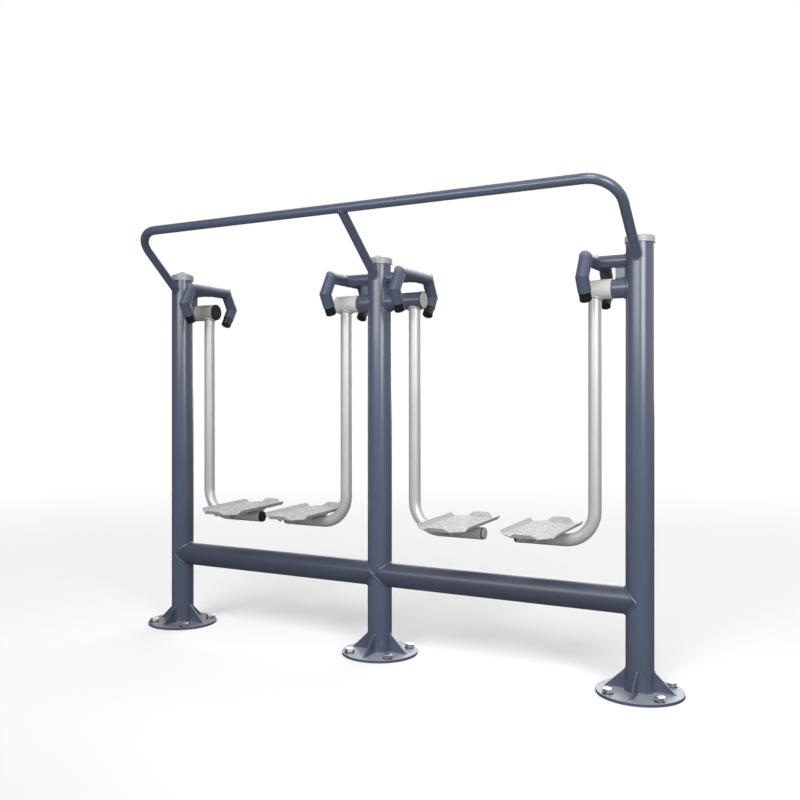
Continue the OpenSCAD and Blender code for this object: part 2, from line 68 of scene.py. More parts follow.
# where most values of a noise texture lie
noiseSpan = (0.3, 0.7)


# an input takes a number, or what another node gives
def feed(tree, value, socket):
    if isinstance(value, (int, float)):
        socket.default_value = value
    else:
        tree.links.new(value, socket)


def addMath(tree, operation, *values):
    node = tree.nodes.new("ShaderNodeMath")
    node.operation = operation
    for socket, value in zip(node.inputs, values):
        feed(tree, value, socket)
    return node.outputs[0]


# how far each place lies along a direction
def addDot(tree, where, direction):
    along = tree.nodes.new("ShaderNodeVectorMath")
    along.operation = "DOT_PRODUCT"
    along.inputs[1].default_value = direction
    tree.links.new(where, along.inputs[0])
    return along.outputs["Value"]


# one coordinate of each place
def addAxis(tree, where, axis):
    split = tree.nodes.new("ShaderNodeSeparateXYZ")
    tree.links.new(where, split.inputs[0])
    return split.outputs[axis]


# low to high, while the source goes through the span
def addRamp(tree, source, low, high, span=noiseSpan, kind="LINEAR"):
    ramp = tree.nodes.new("ShaderNodeMapRange")
    ramp.interpolation_type = kind
    limits = {"From Min": span[0], "From Max": span[1], "To Min": low, "To Max": high}
    for label, value in limits.items():
        ramp.inputs[label].default_value = value
    tree.links.new(source, ramp.inputs["Value"])
    return ramp.outputs[0]


def newMix(tree):
    mix = tree.nodes.new("ShaderNodeMix")
    mix.data_type = "RGBA"
    return mix


# camera and light

viewpoint = {
    "place": (1.6647, -2.8729, 0.9262),
    "pitchDeg": 90.0,
    "turnDeg": 28.812,
    "lens": 40.74,
    "sensorWidth": 36.0,
    "clipEnd": 400.0,
}


def addCamera():
    data = bpy.data.cameras.new("photoCamera")
    data.lens = viewpoint["lens"]
    data.sensor_width = viewpoint["sensorWidth"]
    data.clip_end = viewpoint["clipEnd"]
    camera = bpy.data.objects.new("photoCamera", data)
    camera.location = viewpoint["place"]
    pitch = math.radians(viewpoint["pitchDeg"])
    turn = math.radians(viewpoint["turnDeg"])
    camera.rotation_euler = (pitch, 0, turn)
    scene.collection.objects.link(camera)
    scene.camera = camera


studio = {
    "worldLevel": 0.18,
    # where the white side of the room is, for reflections
    "whiteSide": (0.44, 0.80, 0.40),
    "whiteSpan": (0.05, 0.50),
    "whiteLevel": 1.0,
    "darkLevel": 0.16,
    "suns": {
        # name: direction it shines along, width in degrees, strength
        "keySun": ((-0.10, 0.73, -0.69), 30, 1.48),
        "overheadSun": ((0.05, 0.10, -1.0), 60, 0.28),
        "rimSun": ((0.14, -0.92, -0.36), 50, 1.45),
    },
    # softboxes in front and at the right, which draw the long highlights on the tubes
    "boxes": {
        "frontBox": {"place": (-0.1, -2.6, 1.80), "aim": (0.0, 0.0, 1.2),
                     "size": (3.0, 1.0), "spreadDeg": 100, "power": 14.0},
        "sideBox": {"place": (2.7, -2.1, 1.9), "aim": (0.6, 0.0, 0.9),
                    "size": (1.5, 1.6), "spreadDeg": 100, "power": 20.0},
    },
}


def addLamp(name, data, along, place=(0.0, 0.0, 0.0)):
    lamp = bpy.data.objects.new(name, data)
    lamp.location = place
    lamp.rotation_euler = along.to_track_quat("-Z", "Y").to_euler()
    scene.collection.objects.link(lamp)


def addLights():
    for name, (along, width, strength) in studio["suns"].items():
        data = bpy.data.lights.new(name, "SUN")
        data.angle = math.radians(width)
        data.energy = strength
        addLamp(name, data, Vector(along))
    for name, box in studio["boxes"].items():
        data = bpy.data.lights.new(name, "AREA")
        data.shape = "RECTANGLE"
        data.size, data.size_y = box["size"]
        data.energy = box["power"]
        data.spread = math.radians(box["spreadDeg"])
        addLamp(name, data, Vector(box["aim"]) - Vector(box["place"]), box["place"])


# soft fill for the object, white behind it, and one white side in its reflections
def addWorld():
    world = bpy.data.worlds.new("whiteStudio")
    world.use_nodes = True
    world.cycles.sampling_method = "NONE"
    tree = world.node_tree
    tree.nodes.clear()
    add, link = tree.nodes.new, tree.links.new
    out = add("ShaderNodeOutputWorld")
    path = add("ShaderNodeLightPath")
    where = add("ShaderNodeTexCoord")
    fill = add("ShaderNodeBackground")
    white = add("ShaderNodeBackground")
    sky = add("ShaderNodeBackground")
    for even in (fill, white):
        even.inputs["Color"].default_value = pureWhite
    fill.inputs["Strength"].default_value = studio["worldLevel"]
    toward = addDot(tree, where.outputs["Generated"], studio["whiteSide"])
    link(addRamp(tree, toward, studio["darkLevel"], studio["whiteLevel"], studio["whiteSpan"]),
         sky.inputs["Strength"])
    mirrored = add("ShaderNodeMixShader")
    seen = add("ShaderNodeMixShader")
    link(path.outputs["Is Glossy Ray"], mirrored.inputs["Fac"])
    link(fill.outputs[0], mirrored.inputs[1])
    link(sky.outputs[0], mirrored.inputs[2])
    link(path.outputs["Is Camera Ray"], seen.inputs["Fac"])
    link(mirrored.outputs[0], seen.inputs[1])
    link(white.outputs[0], seen.inputs[2])
    link(seen.outputs[0], out.inputs["Surface"])
    scene.world = world


floorLook = {
    "radius": 150.0,
    "sides": 96,
    "roughness": 0.95,
    # what the camera sees, what lights the object, and what the object mirrors
    "colour": (0.85, 0.845, 0.857),
    "bounce": (0.50, 0.50, 0.50),
    "mirrored": (0.14, 0.14, 0.14),
    # glow under the object and far away, and the distances between which it rises
    "glow": (0.150, 0.38),
    "fade": (0.6, 8.5),
}


def addFloor():
    mesh = bpy.data.meshes.new("studioFloor")
    build = bmesh.new()
    bmesh.ops.create_circle(build, cap_ends=True, segments=floorLook["sides"],
                            radius=floorLook["radius"])
    build.to_mesh(mesh)
    build.free()
    floor = bpy.data.objects.new("studioFloor", mesh)
    scene.collection.objects.link(floor)
    material = bpy.data.materials.new("studioFloor")
    material.use_nodes = True
    tree = material.node_tree
    shader = tree.nodes["Principled BSDF"]
    shader.inputs["Roughness"].default_value = floorLook["roughness"]
    shader.inputs["Specular IOR Level"].default_value = 0.0
    shader.inputs["Emission Color"].default_value = pureWhite
    add, link = tree.nodes.new, tree.links.new
    path = add("ShaderNodeLightPath")
    bounced = newMix(tree)
    bounced.inputs["A"].default_value = (*floorLook["bounce"], 1)
    bounced.inputs["B"].default_value = (*floorLook["mirrored"], 1)
    tone = newMix(tree)
    tone.inputs["B"].default_value = (*floorLook["colour"], 1)
    link(path.outputs["Is Glossy Ray"], bounced.inputs["Factor"])
    link(bounced.outputs["Result"], tone.inputs["A"])
    link(path.outputs["Is Camera Ray"], tone.inputs["Factor"])
    link(tone.outputs["Result"], shader.inputs["Base Color"])
    # the far floor fades into the white behind it
    where = add("ShaderNodeTexCoord")
    reach = add("ShaderNodeVectorMath")
    reach.operation = "LENGTH"
    link(where.outputs["Object"], reach.inputs[0])
    fade = addRamp(tree, reach.outputs["Value"], *floorLook["glow"], floorLook["fade"],
                   "SMOOTHSTEP")
    link(addMath(tree, "MULTIPLY", path.outputs["Is Camera Ray"], fade),
         shader.inputs["Emission Strength"])
    mesh.materials.append(material)


scene.view_settings.view_transform = "Standard"
addCamera()
addLights()
addWorld()
addFloor()
print("stage: camera, lights and floor")


# finishes

# surfaces seen close up: cloud, gloss and grain are a noise's scale and detail, shades are
# factors on the colour, swing is how far the roughness goes down and up, relief is in metres
surfaces = {
    "coat": {"cloud": (5.0, 3.0), "shades": (0.95, 1.05),
             "gloss": (60.0, 2.0), "swing": (0.04, 0.04),
             "grain": (420.0, 1.0), "strength": 0.015, "relief": 0.0004},
    # the look of a coat's paler upper side, which is painted light
    "litTopCoat": {"cloud": (26.0, 4.0), "shades": (0.90, 1.08),
                 "gloss": (60.0, 2.0), "swing": (0.04, 0.06),
                 "grain": (420.0, 1.0), "strength": 0.015, "relief": 0.0004},
    "moulded": {"cloud": (14.0, 4.0), "shades": (0.93, 1.07),
                "gloss": (45.0, 3.0), "swing": (0.06, 0.06),
                "grain": (1100.0, 2.0), "strength": 0.06, "relief": 0.0003},
    "twoTone": {"gloss": (45.0, 3.0), "swing": (0.05, 0.05),
                "grain": (1100.0, 2.0), "strength": 0.06, "relief": 0.0003},
    "plated": {"cloud": (180.0, 4.0), "shades": (0.90, 1.06),
               "gloss": (420.0, 3.0), "swing": (0.06, 0.08),
               "grain": (900.0, 2.0), "strength": 0.05, "relief": 0.0002},
    "coatedBolt": {"gloss": (420.0, 3.0), "swing": (0.04, 0.12),
                   "grain": (900.0, 2.0), "strength": 0.05, "relief": 0.0002},
}
coatRoughness = 0.22


def newFinish(name, colour, roughness, metallic=0.0, specular=0.5):
    material = bpy.data.materials.new(name)
    material.use_nodes = True
    tree = material.node_tree
    shader = tree.nodes["Principled BSDF"]
    shader.inputs["Base Color"].default_value = (*colour, 1)
    shader.inputs["Roughness"].default_value = roughness
    shader.inputs["Metallic"].default_value = metallic
    shader.inputs["Specular IOR Level"].default_value = specular
    where = tree.nodes.new("ShaderNodeTexCoord")
    return material, tree, shader, where.outputs["Object"]


def shade(colour, factor):
    return tuple(min(1.0, channel * factor) for channel in colour)


def addNoise(tree, where, scale, detail):
    noise = tree.nodes.new("ShaderNodeTexNoise")
    noise.inputs["Scale"].default_value = scale
    noise.inputs["Detail"].default_value = detail
    tree.links.new(where, noise.inputs["Vector"])
    return noise.outputs["Fac"]


# colours along the source: each stop is a position and a colour
def addTones(tree, source, *stops):
    ramp = tree.nodes.new("ShaderNodeValToRGB")
    elements = ramp.color_ramp.elements
    for place, (position, colour) in enumerate(stops):
        element = elements[place] if place < 2 else elements.new(position)
        element.position = position
        element.color = (*colour, 1)
    tree.links.new(source, ramp.inputs["Fac"])
    return ramp.outputs["Color"]


# a colour that drifts between a darker and a lighter shade of itself
def addCloud(tree, where, colour, look):
    shades = [shade(colour, factor) for factor in look["shades"]]
    return addTones(tree, addNoise(tree, where, *look["cloud"]), *zip(noiseSpan, shades))


def addBump(tree, source, shader, strength, relief):
    bump = tree.nodes.new("ShaderNodeBump")
    bump.inputs["Strength"].default_value = strength
    bump.inputs["Distance"].default_value = relief
    tree.links.new(source, bump.inputs["Height"])
    tree.links.new(bump.outputs["Normal"], shader.inputs["Normal"])


# uneven gloss and fine relief, the same for every finish but the grit
def addSurface(tree, where, shader, look, roughness, strength=None):
    down, up = look["swing"]
    gloss = addNoise(tree, where, *look["gloss"])
    tree.links.new(addRamp(tree, gloss, roughness - down, roughness + up),
                   shader.inputs["Roughness"])
    if strength is None:
        strength = look["strength"]
    addBump(tree, addNoise(tree, where, *look["grain"]), shader, strength, look["relief"])


# orange peel of a sprayed and baked coat, with faint cloudiness
def powderCoat(name, colour, roughness, coat, strength=None, metallic=0.0):
    material, tree, shader, where = newFinish(name, colour, roughness, metallic)
    look = surfaces["coat"]
    tree.links.new(addCloud(tree, where, colour, look), shader.inputs["Base Color"])
    addSurface(tree, where, shader, look, roughness, strength)
    shader.inputs["Coat Weight"].default_value = coat
    shader.inputs["Coat Roughness"].default_value = coatRoughness
    return material


# moulded plastic or rubber, with a fine grain and slightly rubbed places
def mouldedFinish(name, colour, roughness, strength=None, specular=0.5):
    material, tree, shader, where = newFinish(name, colour, roughness, specular=specular)
    look = surfaces["moulded"]
    tree.links.new(addCloud(tree, where, colour, look), shader.inputs["Base Color"])
    addSurface(tree, where, shader, look, roughness, strength)
    return material


# bright plated steel with faint turning marks
def platedSteel(name, colour, roughness):
    material, tree, shader, where = newFinish(name, colour, roughness, metallic=1.0)
    look = surfaces["plated"]
    tree.links.new(addCloud(tree, where, colour, look), shader.inputs["Base Color"])
    addSurface(tree, where, shader, look, roughness)
    return material


# a coat painted paler on its upper side, between two heights: painted light from above
def paintLitTop(name, coat, litTone, heights, roughness):
    material, tree, shader, where = newFinish(name, coat, roughness)
    link = tree.links.new
    look = surfaces["litTopCoat"]
    litTop = newMix(tree)
    litTop.inputs["A"].default_value = (*coat, 1)
    link(addRamp(tree, addAxis(tree, where, "Z"), 0.0, 1.0, heights), litTop.inputs["Factor"])
    link(addCloud(tree, where, litTone, look), litTop.inputs["B"])
    link(litTop.outputs["Result"], shader.inputs["Base Color"])
    addSurface(tree, where, shader, look, roughness)
    return material


# two colours on one piece, with the change at one place along an axis
def twoToneFinish(name, near, far, change, roughness, axis="X", metallic=0.0):
    material, tree, shader, where = newFinish(name, far, roughness, metallic)
    beyond = addMath(tree, "GREATER_THAN", addAxis(tree, where, axis), change)
    tree.links.new(addTones(tree, beyond, *zip(noiseSpan, (near, far))),
                   shader.inputs["Base Color"])
    addSurface(tree, where, shader, surfaces["twoTone"], roughness)
    return material


# height above the foot tube's axis, square to the tilted pan
def heightOnPan(tree, where):
    tilt = math.radians(layout["panTiltDeg"])
    along = addDot(tree, where, (0.0, -math.sin(tilt), math.cos(tilt)))
    return addMath(tree, "SUBTRACT", along, layout["footZ"] * math.cos(tilt))


grit = {
    "roughness": 0.60,
    "glossSwing": 0.1,
    # the pan floor's upper face, and how far from it the grit turns into a smooth coat
    "floorTop": 0.0302,
    "smoothSpan": (0.0011, 0.0022),
    "scale": 250.0,
    # grains from dark to light, and a few sparks, as factors on the colour
    "shades": ((0.10, 0.60), (0.75, 1.28), (0.93, 1.55)),
    "rims": {"cloud": (30.0, 3.0), "shades": (0.88, 0.96)},
    "strength": 0.45,
    "relief": 0.0010,
}


# anti-slip coat: light and dark grit in a grey binder on the floor's upper face,
# smooth on the folded rims and below
def gritCoat(name, colour):
    roughness = grit["roughness"]
    material, tree, shader, where = newFinish(name, colour, roughness)
    add, link = tree.nodes.new, tree.links.new
    above = addMath(tree, "SUBTRACT", heightOnPan(tree, where), grit["floorTop"])
    away = addMath(tree, "ABSOLUTE", above)
    cells = add("ShaderNodeTexVoronoi")
    cells.inputs["Scale"].default_value = grit["scale"]
    link(where, cells.inputs["Vector"])
    drawn = add("ShaderNodeSeparateColor")
    link(cells.outputs["Color"], drawn.inputs[0])
    folded = newMix(tree)
    link(addRamp(tree, away, 0.0, 1.0, grit["smoothSpan"]), folded.inputs["Factor"])
    stops = [(position, shade(colour, factor)) for position, factor in grit["shades"]]
    link(addTones(tree, drawn.outputs[0], *stops), folded.inputs["A"])
    link(addCloud(tree, where, colour, grit["rims"]), folded.inputs["B"])
    link(folded.outputs["Result"], shader.inputs["Base Color"])
    link(addRamp(tree, drawn.outputs[1], roughness - grit["glossSwing"], roughness, (0.0, 1.0)),
         shader.inputs["Roughness"])
    gritty = addRamp(tree, away, 1.0, 0.0, grit["smoothSpan"])
    addBump(tree, addMath(tree, "MULTIPLY", cells.outputs["Distance"], gritty), shader,
            grit["strength"], grit["relief"])
    return material


panBolts = {
    "roughness": 0.30,
    # where the coated heads begin, above the foot tube's axis, and the soft edge there
    "headsFrom": 0.0262,
    "edge": 0.0005,
    # the metal below the pan, and where its colour lies between the coat's and the steel's
    "metallic": 0.15,
    "coatAt": 0.10,
    "steelAt": 0.25,
    "coatShade": 0.92,
    # painted highlight: the steel below the pan lighter than the plated zinc
    "steelHighlightShade": 1.15,
}


# bolts through the pan: heads coated like it, shanks and nuts in dulled plated steel, painted
# lighter than the zinc as a painted highlight
def coatedHeads(name, coat, steel):
    roughness = panBolts["roughness"]
    material, tree, shader, where = newFinish(name, steel, roughness)
    link = tree.links.new
    heads = (panBolts["headsFrom"], panBolts["headsFrom"] + panBolts["edge"])
    bare = addRamp(tree, heightOnPan(tree, where), panBolts["metallic"], 0.0, heads)
    link(bare, shader.inputs["Metallic"])
    link(addTones(tree, bare, (panBolts["coatAt"], coat), (panBolts["steelAt"], steel)),
         shader.inputs["Base Color"])
    addSurface(tree, where, shader, surfaces["coatedBolt"], roughness)
    return material


paints = {
    "slate": (0.064, 0.079, 0.124),
    "silver": (0.51, 0.506, 0.505),
    "warmGrey": (0.55, 0.55, 0.535),
    "darkGrey": (0.310, 0.297, 0.290),
    "pan": (0.432, 0.421, 0.429),
    "capGrey": (0.37, 0.374, 0.382),
    "discGrey": (0.36, 0.352, 0.362),
    "plugGrey": (0.36, 0.36, 0.355),
    "black": (0.007, 0.0075, 0.008),
    # painted light: the paler top faces of the base plates
    "plateLitTop": (0.290, 0.308, 0.358),
    # painted light: the paler upper half of the forks' cross tubes
    "forkLitTop": (0.200, 0.212, 0.250),
    "zinc": (0.80, 0.81, 0.82),
    "steel": (0.62, 0.63, 0.64),
    # painted shade: the anchor bolts' washers drawn dark under their heads
    "washer": (0.10, 0.10, 0.11),
}

finishes = {
    "frame_paint": powderCoat("slatePowderCoat", paints["slate"], roughness=0.32, coat=0.85),
    "arm_paint": powderCoat("silverPowderCoat", paints["silver"], roughness=0.40, coat=0.05,
                            strength=0.0, metallic=0.40),
    "pedal_coat": gritCoat("panGritCoat", paints["pan"]),
    "grey_plastic": mouldedFinish("capPlastic", paints["capGrey"], roughness=0.32),
    "black_rubber": mouldedFinish("blackRubber", paints["black"], roughness=0.46, specular=0.25),
    "zinc_steel": platedSteel("zincSteel", paints["zinc"], roughness=0.30),
    "bearing_steel": platedSteel("bearingSteel", paints["steel"], roughness=0.22),
}

details = {
    # where the grey disc of cap 3 begins, and the thickness of the collar of plug 3
    "capDiscX": 0.1810,
    "plugCollar": 0.0045,
    # painted shade: the beams in a darker copy of the slate coat, as less light falls on them
    "beamPaintedShade": 0.62,
    # how much painted light each base plate's top gets, and how far below its top that begins
    # and is full
    "plateLightShares": {"left": 0.6, "centre": 1.0, "right": 1.0},
    "plateFade": (0.0015, 0.0002),
}


# finishes of the pieces that differ from the rest of their slot
def specialFinishes():
    slate, black = paints["slate"], paints["black"]
    warmHub = powderCoat("hubWarmGrey", paints["warmGrey"], roughness=0.38, coat=0.10)
    # the beams get painted shade: a darker copy of the slate coat
    beam = powderCoat("beamShadedCoat", shade(slate, details["beamPaintedShade"]),
                      roughness=0.40, coat=0.45)
    special = {
        "hub_1": powderCoat("hubDarkGrey", paints["darkGrey"], roughness=0.42, coat=0.05),
        "hub_2": warmHub,
        "hub_4": warmHub,
        "hub_cap_3": twoToneFinish("hubCapTwoTone", black, paints["discGrey"],
                                   details["capDiscX"], roughness=0.38),
        "foot_tube_plug_3": twoToneFinish("footPlugTwoTone", black, paints["plugGrey"],
                                          layout["footEnd"] + details["plugCollar"],
                                          roughness=0.38),
        "left_beam": beam,
        "right_beam": beam,
        "stop_buffers": mouldedFinish("bufferRubber", black, roughness=0.10,
                                      strength=0.01, specular=0.7),
    }
    # the base plates' tops get painted light, paler than the slate coat
    fade = tuple(layout["plateT"] - depth for depth in details["plateFade"])
    for side, factor in details["plateLightShares"].items():
        special[f"{side}_base_plate"] = paintLitTop(f"{side}PlateLitTopCoat", slate,
                                                shade(paints["plateLitTop"], factor), fade,
                                                roughness=0.42)
    # the forks' cross tubes get painted light on their upper half
    forkZ = layout["hubZ"] + layout["forkRise"]
    fork = paintLitTop("forkLitTopCoat", slate, paints["forkLitTop"], (forkZ, forkZ + layout["forkR"]),
                   roughness=0.36)
    bolts = coatedHeads("panBolts", shade(paints["pan"], panBolts["coatShade"]),
                        shade(paints["zinc"], panBolts["steelHighlightShade"]))
    for station in layout["stations"]:
        special[f"stop_fork_{station}"] = fork
        special[f"pedal_fasteners_{station}"] = bolts
    return special


def paintNodes():
    special = specialFinishes()
    for part in frame["record"]["subparts"]:
        piece = nodes[part["node"]]
        piece.data.materials.clear()
        piece.data.materials.append(special.get(part["node"], finishes[part["material_slot"]]))


paintNodes()
print("stage: finishes on the frame's own pieces")


# geometry node helpers

def newTree(name, inputs):
    tree = bpy.data.node_groups.new(name, "GeometryNodeTree")
    tree.interface.new_socket("Geometry", in_out="INPUT", socket_type="NodeSocketGeometry")
    tree.interface.new_socket("Geometry", in_out="OUTPUT", socket_type="NodeSocketGeometry")
    for label, kind in inputs.items():
        tree.interface.new_socket(label, in_out="INPUT", socket_type="NodeSocket" + kind)
    return tree, tree.nodes.new("NodeGroupInput"), tree.nodes.new("NodeGroupOutput")


# the last nodes of every tree: instances made real, then the finish
def closeTree(tree, geometry, given, out):
    real = tree.nodes.new("GeometryNodeRealizeInstances")
    paint = tree.nodes.new("GeometryNodeSetMaterial")
    tree.links.new(geometry, real.inputs["Geometry"])
    tree.links.new(real.outputs["Geometry"], paint.inputs["Geometry"])
    tree.links.new(given.outputs["Finish"], paint.inputs["Material"])
    tree.links.new(paint.outputs["Geometry"], out.inputs["Geometry"])


# a random number for each point or instance, between two limits
def addChance(tree, low, high, seed):
    chance = tree.nodes.new("FunctionNodeRandomValue")
    chance.data_type = "FLOAT"
    limits = [socket for socket in chance.inputs if socket.type == "VALUE"]
    feed(tree, low, limits[0])
    feed(tree, high, limits[1])
    tree.links.new(seed, chance.inputs["Seed"])
    return next(socket for socket in chance.outputs if socket.type == "VALUE")


def growPiece(name, tree, seedMesh, values, body):
    holder = bpy.data.objects.new(name + "Seed", seedMesh)
    scene.collection.objects.link(holder)
    modifier = holder.modifiers.new(tree.name, "NODES")
    modifier.node_group = tree
    sockets = {item.name: item.identifier for item in tree.interface.items_tree
               if item.in_out == "INPUT"}
    for label, value in values.items():
        modifier[sockets[label]] = value
    depsgraph = bpy.context.evaluated_depsgraph_get()
    grown = bpy.data.meshes.new_from_object(holder.evaluated_get(depsgraph))
    grown.name = name
    holder.modifiers.remove(modifier)
    bpy.data.objects.remove(holder)
    piece = bpy.data.objects.new(name, grown)
    scene.collection.objects.link(piece)
    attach(piece, body)
    return piece


# weld beads along every welded seam

welds = {
    "spacing": 0.0016,
    "ripple": 0.16,
    "unevenness": 0.06,
    "seed": 4,
    "beadSides": 8,
    "ringSteps": 72,
    # bead radius of each kind of seam
    "beam": 0.0036,
    "foot": 0.0040,
    "gusset": 0.0030,
    "stub": 0.0042,
    "forkArm": 0.0022,
    "mitre": 0.0007,
    "rail": 0.0026,
    "web": 0.0026,
    "saddle": 0.0042,
    "bearer": 0.0026,
}


def weldTree():
    tree, given, out = newTree("weldBead", {
        "Spacing": "Float", "Ripple": "Float", "Unevenness": "Float",
        "Seed": "Int", "Finish": "Material",
    })
    add, link = tree.nodes.new, tree.links.new
    curve = add("GeometryNodeMeshToCurve")
    steps = add("GeometryNodeResampleCurve")
    steps.mode = "LENGTH"
    bead = add("GeometryNodeInputNamedAttribute")
    bead.data_type = "FLOAT"
    bead.inputs["Name"].default_value = "beadRadius"
    index = add("GeometryNodeInputIndex")
    profile = add("GeometryNodeCurvePrimitiveCircle")
    profile.inputs["Resolution"].default_value = welds["beadSides"]
    profile.inputs["Radius"].default_value = 1.0
    sweep = add("GeometryNodeCurveToMesh")
    sweep.inputs["Fill Caps"].default_value = True
    smooth = add("GeometryNodeSetShadeSmooth")
    link(given.outputs["Geometry"], curve.inputs["Mesh"])
    link(curve.outputs["Curve"], steps.inputs["Curve"])
    link(given.outputs["Spacing"], steps.inputs["Length"])
    # every second point swells, and each is a little thicker or thinner by chance
    pulse = addMath(tree, "MODULO", index.outputs[0], 2.0)
    swell = addMath(tree, "MULTIPLY_ADD", pulse, given.outputs["Ripple"], 1.0)
    low = addMath(tree, "SUBTRACT", 1.0, given.outputs["Unevenness"])
    high = addMath(tree, "ADD", 1.0, given.outputs["Unevenness"])
    wobble = addChance(tree, low, high, given.outputs["Seed"])
    size = addMath(tree, "MULTIPLY", addMath(tree, "MULTIPLY", bead.outputs[0], swell), wobble)
    link(size, sweep.inputs["Scale"])
    link(steps.outputs["Curve"], sweep.inputs["Curve"])
    link(profile.outputs["Curve"], sweep.inputs["Profile Curve"])
    link(sweep.outputs["Mesh"], smooth.inputs["Geometry"])
    closeTree(tree, smooth.outputs["Geometry"], given, out)
    return tree


# places at even steps of an angle, all the way round or part of it
def ring(place, start=0.0, end=360.0):
    steps = welds["ringSteps"]
    whole = end - start >= 360.0
    count = steps if whole else steps + 1
    return [place(math.radians(start + (end - start) * i / steps)) for i in range(count)]


# a post on its base plate
def postFoot(x):
    radius = layout["postR"]
    return ring(lambda angle: (x + radius * math.cos(angle), radius * math.sin(angle),
                               layout["plateT"]))


# a tube along X that meets a post
def postCope(x, side, z, radius):
    reach = layout["postR"]
    return ring(lambda angle: (
        x + side * math.sqrt(max(reach ** 2 - (radius * math.sin(angle)) ** 2, 0.0)),
        radius * math.sin(angle), z + radius * math.cos(angle)))


# a mitre between two tube lengths that lie in a plane across X
def mitreRing(x, corner, before, after, radius):
    plane = (before + after).normalized()
    across = Vector((-before.y, before.x))
    slide = -across.dot(plane) / before.dot(plane)

    def place(angle):
        spot = corner + radius * math.cos(angle) * (across + slide * before)
        return (x + radius * math.sin(angle), spot.x, spot.y)
    return ring(place)


# the handrail's sloping tubes: how far in front of the posts and how high they start
railLine = {"reach": 0.267, "z": 1.581, "slopeDeg": 41.2, "radius": 0.01685}


# a place on a sloping tube, so far along its axis and at an angle round it
def railPoint(x, along, angle):
    slope = math.radians(railLine["slopeDeg"])
    radius = railLine["radius"]
    rise = radius * math.sin(angle)
    y = -railLine["reach"] + along * math.cos(slope) + rise * math.sin(slope)
    z = railLine["z"] - along * math.sin(slope) + rise * math.cos(slope)
    return (x + radius * math.cos(angle), y, z)


def legOnPost(x):
    slope = math.radians(railLine["slopeDeg"])
    radius = railLine["radius"]

    def place(angle):
        y = -math.sqrt(layout["postR"] ** 2 - (radius * math.cos(angle)) ** 2)
        lift = radius * math.sin(angle) * math.sin(slope)
        return railPoint(x, (y + railLine["reach"] - lift) / math.cos(slope), angle)
    return ring(place)


def strutOnRail():
    radius = railLine["radius"]
    return ring(lambda angle: railPoint(0.0, radius * abs(math.cos(angle)), angle))


gusset = {"halfT": 0.003, "reach": 0.110, "height": 0.065, "turnsDeg": (0, 90, 180, 270)}


def gussetSeam(x, turnDeg):
    half, reach, floor = gusset["halfT"], gusset["reach"], layout["plateT"]
    top = floor + gusset["height"]
    root = math.sqrt(layout["postR"] ** 2 - half ** 2)
    turn = Matrix.Rotation(math.radians(turnDeg), 3, "Z")
    spots = [(root, half, top), (root, half, floor), (reach, half, floor),
             (reach, -half, floor), (root, -half, floor), (root, -half, top)]
    return [tuple(turn @ Vector(spot) + Vector((x, 0, 0))) for spot in spots]


web = {"halfT": 0.004, "reach": 0.077}


def webSeam(x, side):
    half, reach = web["halfT"], web["reach"]
    low = layout["hubZ"] + math.sqrt(layout["hubR"] ** 2 - half ** 2)
    high = layout["hubZ"] + layout["forkRise"] - math.sqrt(layout["forkR"] ** 2 - half ** 2)
    root = math.sqrt(layout["postR"] ** 2 - half ** 2)
    spots = []
    for y, order in ((half, 1), (-half, -1)):
        run = [(reach, y, low), (root, y, low), (root, y, high), (reach, y, high)]
        spots += run[::order]
    return [(x + side * across, y, z) for across, y, z in spots]


# the fork's claw: half its cross tube, the length to the next mitre, the lean of the sides
claw = {"shoulderY": 0.107, "upperLength": 0.0745, "leanDeg": 30.0}


def forkSeams(x, side):
    radius = layout["forkR"]
    forkX = x + side * layout["forkX"]
    top = layout["hubZ"] + layout["forkRise"]
    lean = math.radians(claw["leanDeg"])
    mitres = []
    for way in (-1, 1):
        down = Vector((way * math.sin(lean), -math.cos(lean)))
        back = Vector((-way * math.sin(lean), -math.cos(lean)))
        shoulder = Vector((way * claw["shoulderY"], top))
        knee = shoulder + claw["upperLength"] * down
        mitres.append(mitreRing(forkX, shoulder, Vector((way, 0.0)), down, radius))
        mitres.append(mitreRing(forkX, knee, down, back, radius))
    arm = ring(lambda angle: (forkX - side * radius * abs(math.sin(angle)),
                              radius * math.sin(angle), top + radius * math.cos(angle)))
    return mitres, arm


# the bearers' webs on the foot tube, and the angles between which the beads run
bearer = {"webs": (-0.0285, 0.0285), "halfT": 0.003, "fromDeg": -22.0, "toDeg": 202.0}


def armSeams(x, side):
    armR, hubR = layout["armR"], layout["hubR"]
    saddle = ring(lambda angle: (
        x + side * layout["armX"] + armR * math.cos(angle), armR * math.sin(angle),
        layout["hubZ"] - math.sqrt(hubR ** 2 - (armR * math.sin(angle)) ** 2)))
    bearers = []
    for offset in bearer["webs"]:
        for face in (-bearer["halfT"], bearer["halfT"]):
            footX = x + side * (layout["pedalX"] + offset) + face
            bearers.append(ring(lambda angle, footX=footX: (
                footX, armR * math.cos(angle), layout["footZ"] + armR * math.sin(angle)),
                bearer["fromDeg"], bearer["toDeg"]))
    return saddle, bearers


# each seam is a path, whether it is closed, and its bead's radius
def seamMesh(name, seams):
    spots, edges, sizes = [], [], []
    for path, closed, radius in seams:
        first = len(spots)
        spots += path
        sizes += [radius] * len(path)
        edges += [(first + i, first + i + 1) for i in range(len(path) - 1)]
        if closed:
            edges.append((first + len(path) - 1, first))
    mesh = bpy.data.meshes.new(name)
    mesh.from_pydata(spots, edges, [])
    width = mesh.attributes.new("beadRadius", "FLOAT", "POINT")
    width.data.foreach_set("value", sizes)
    return mesh


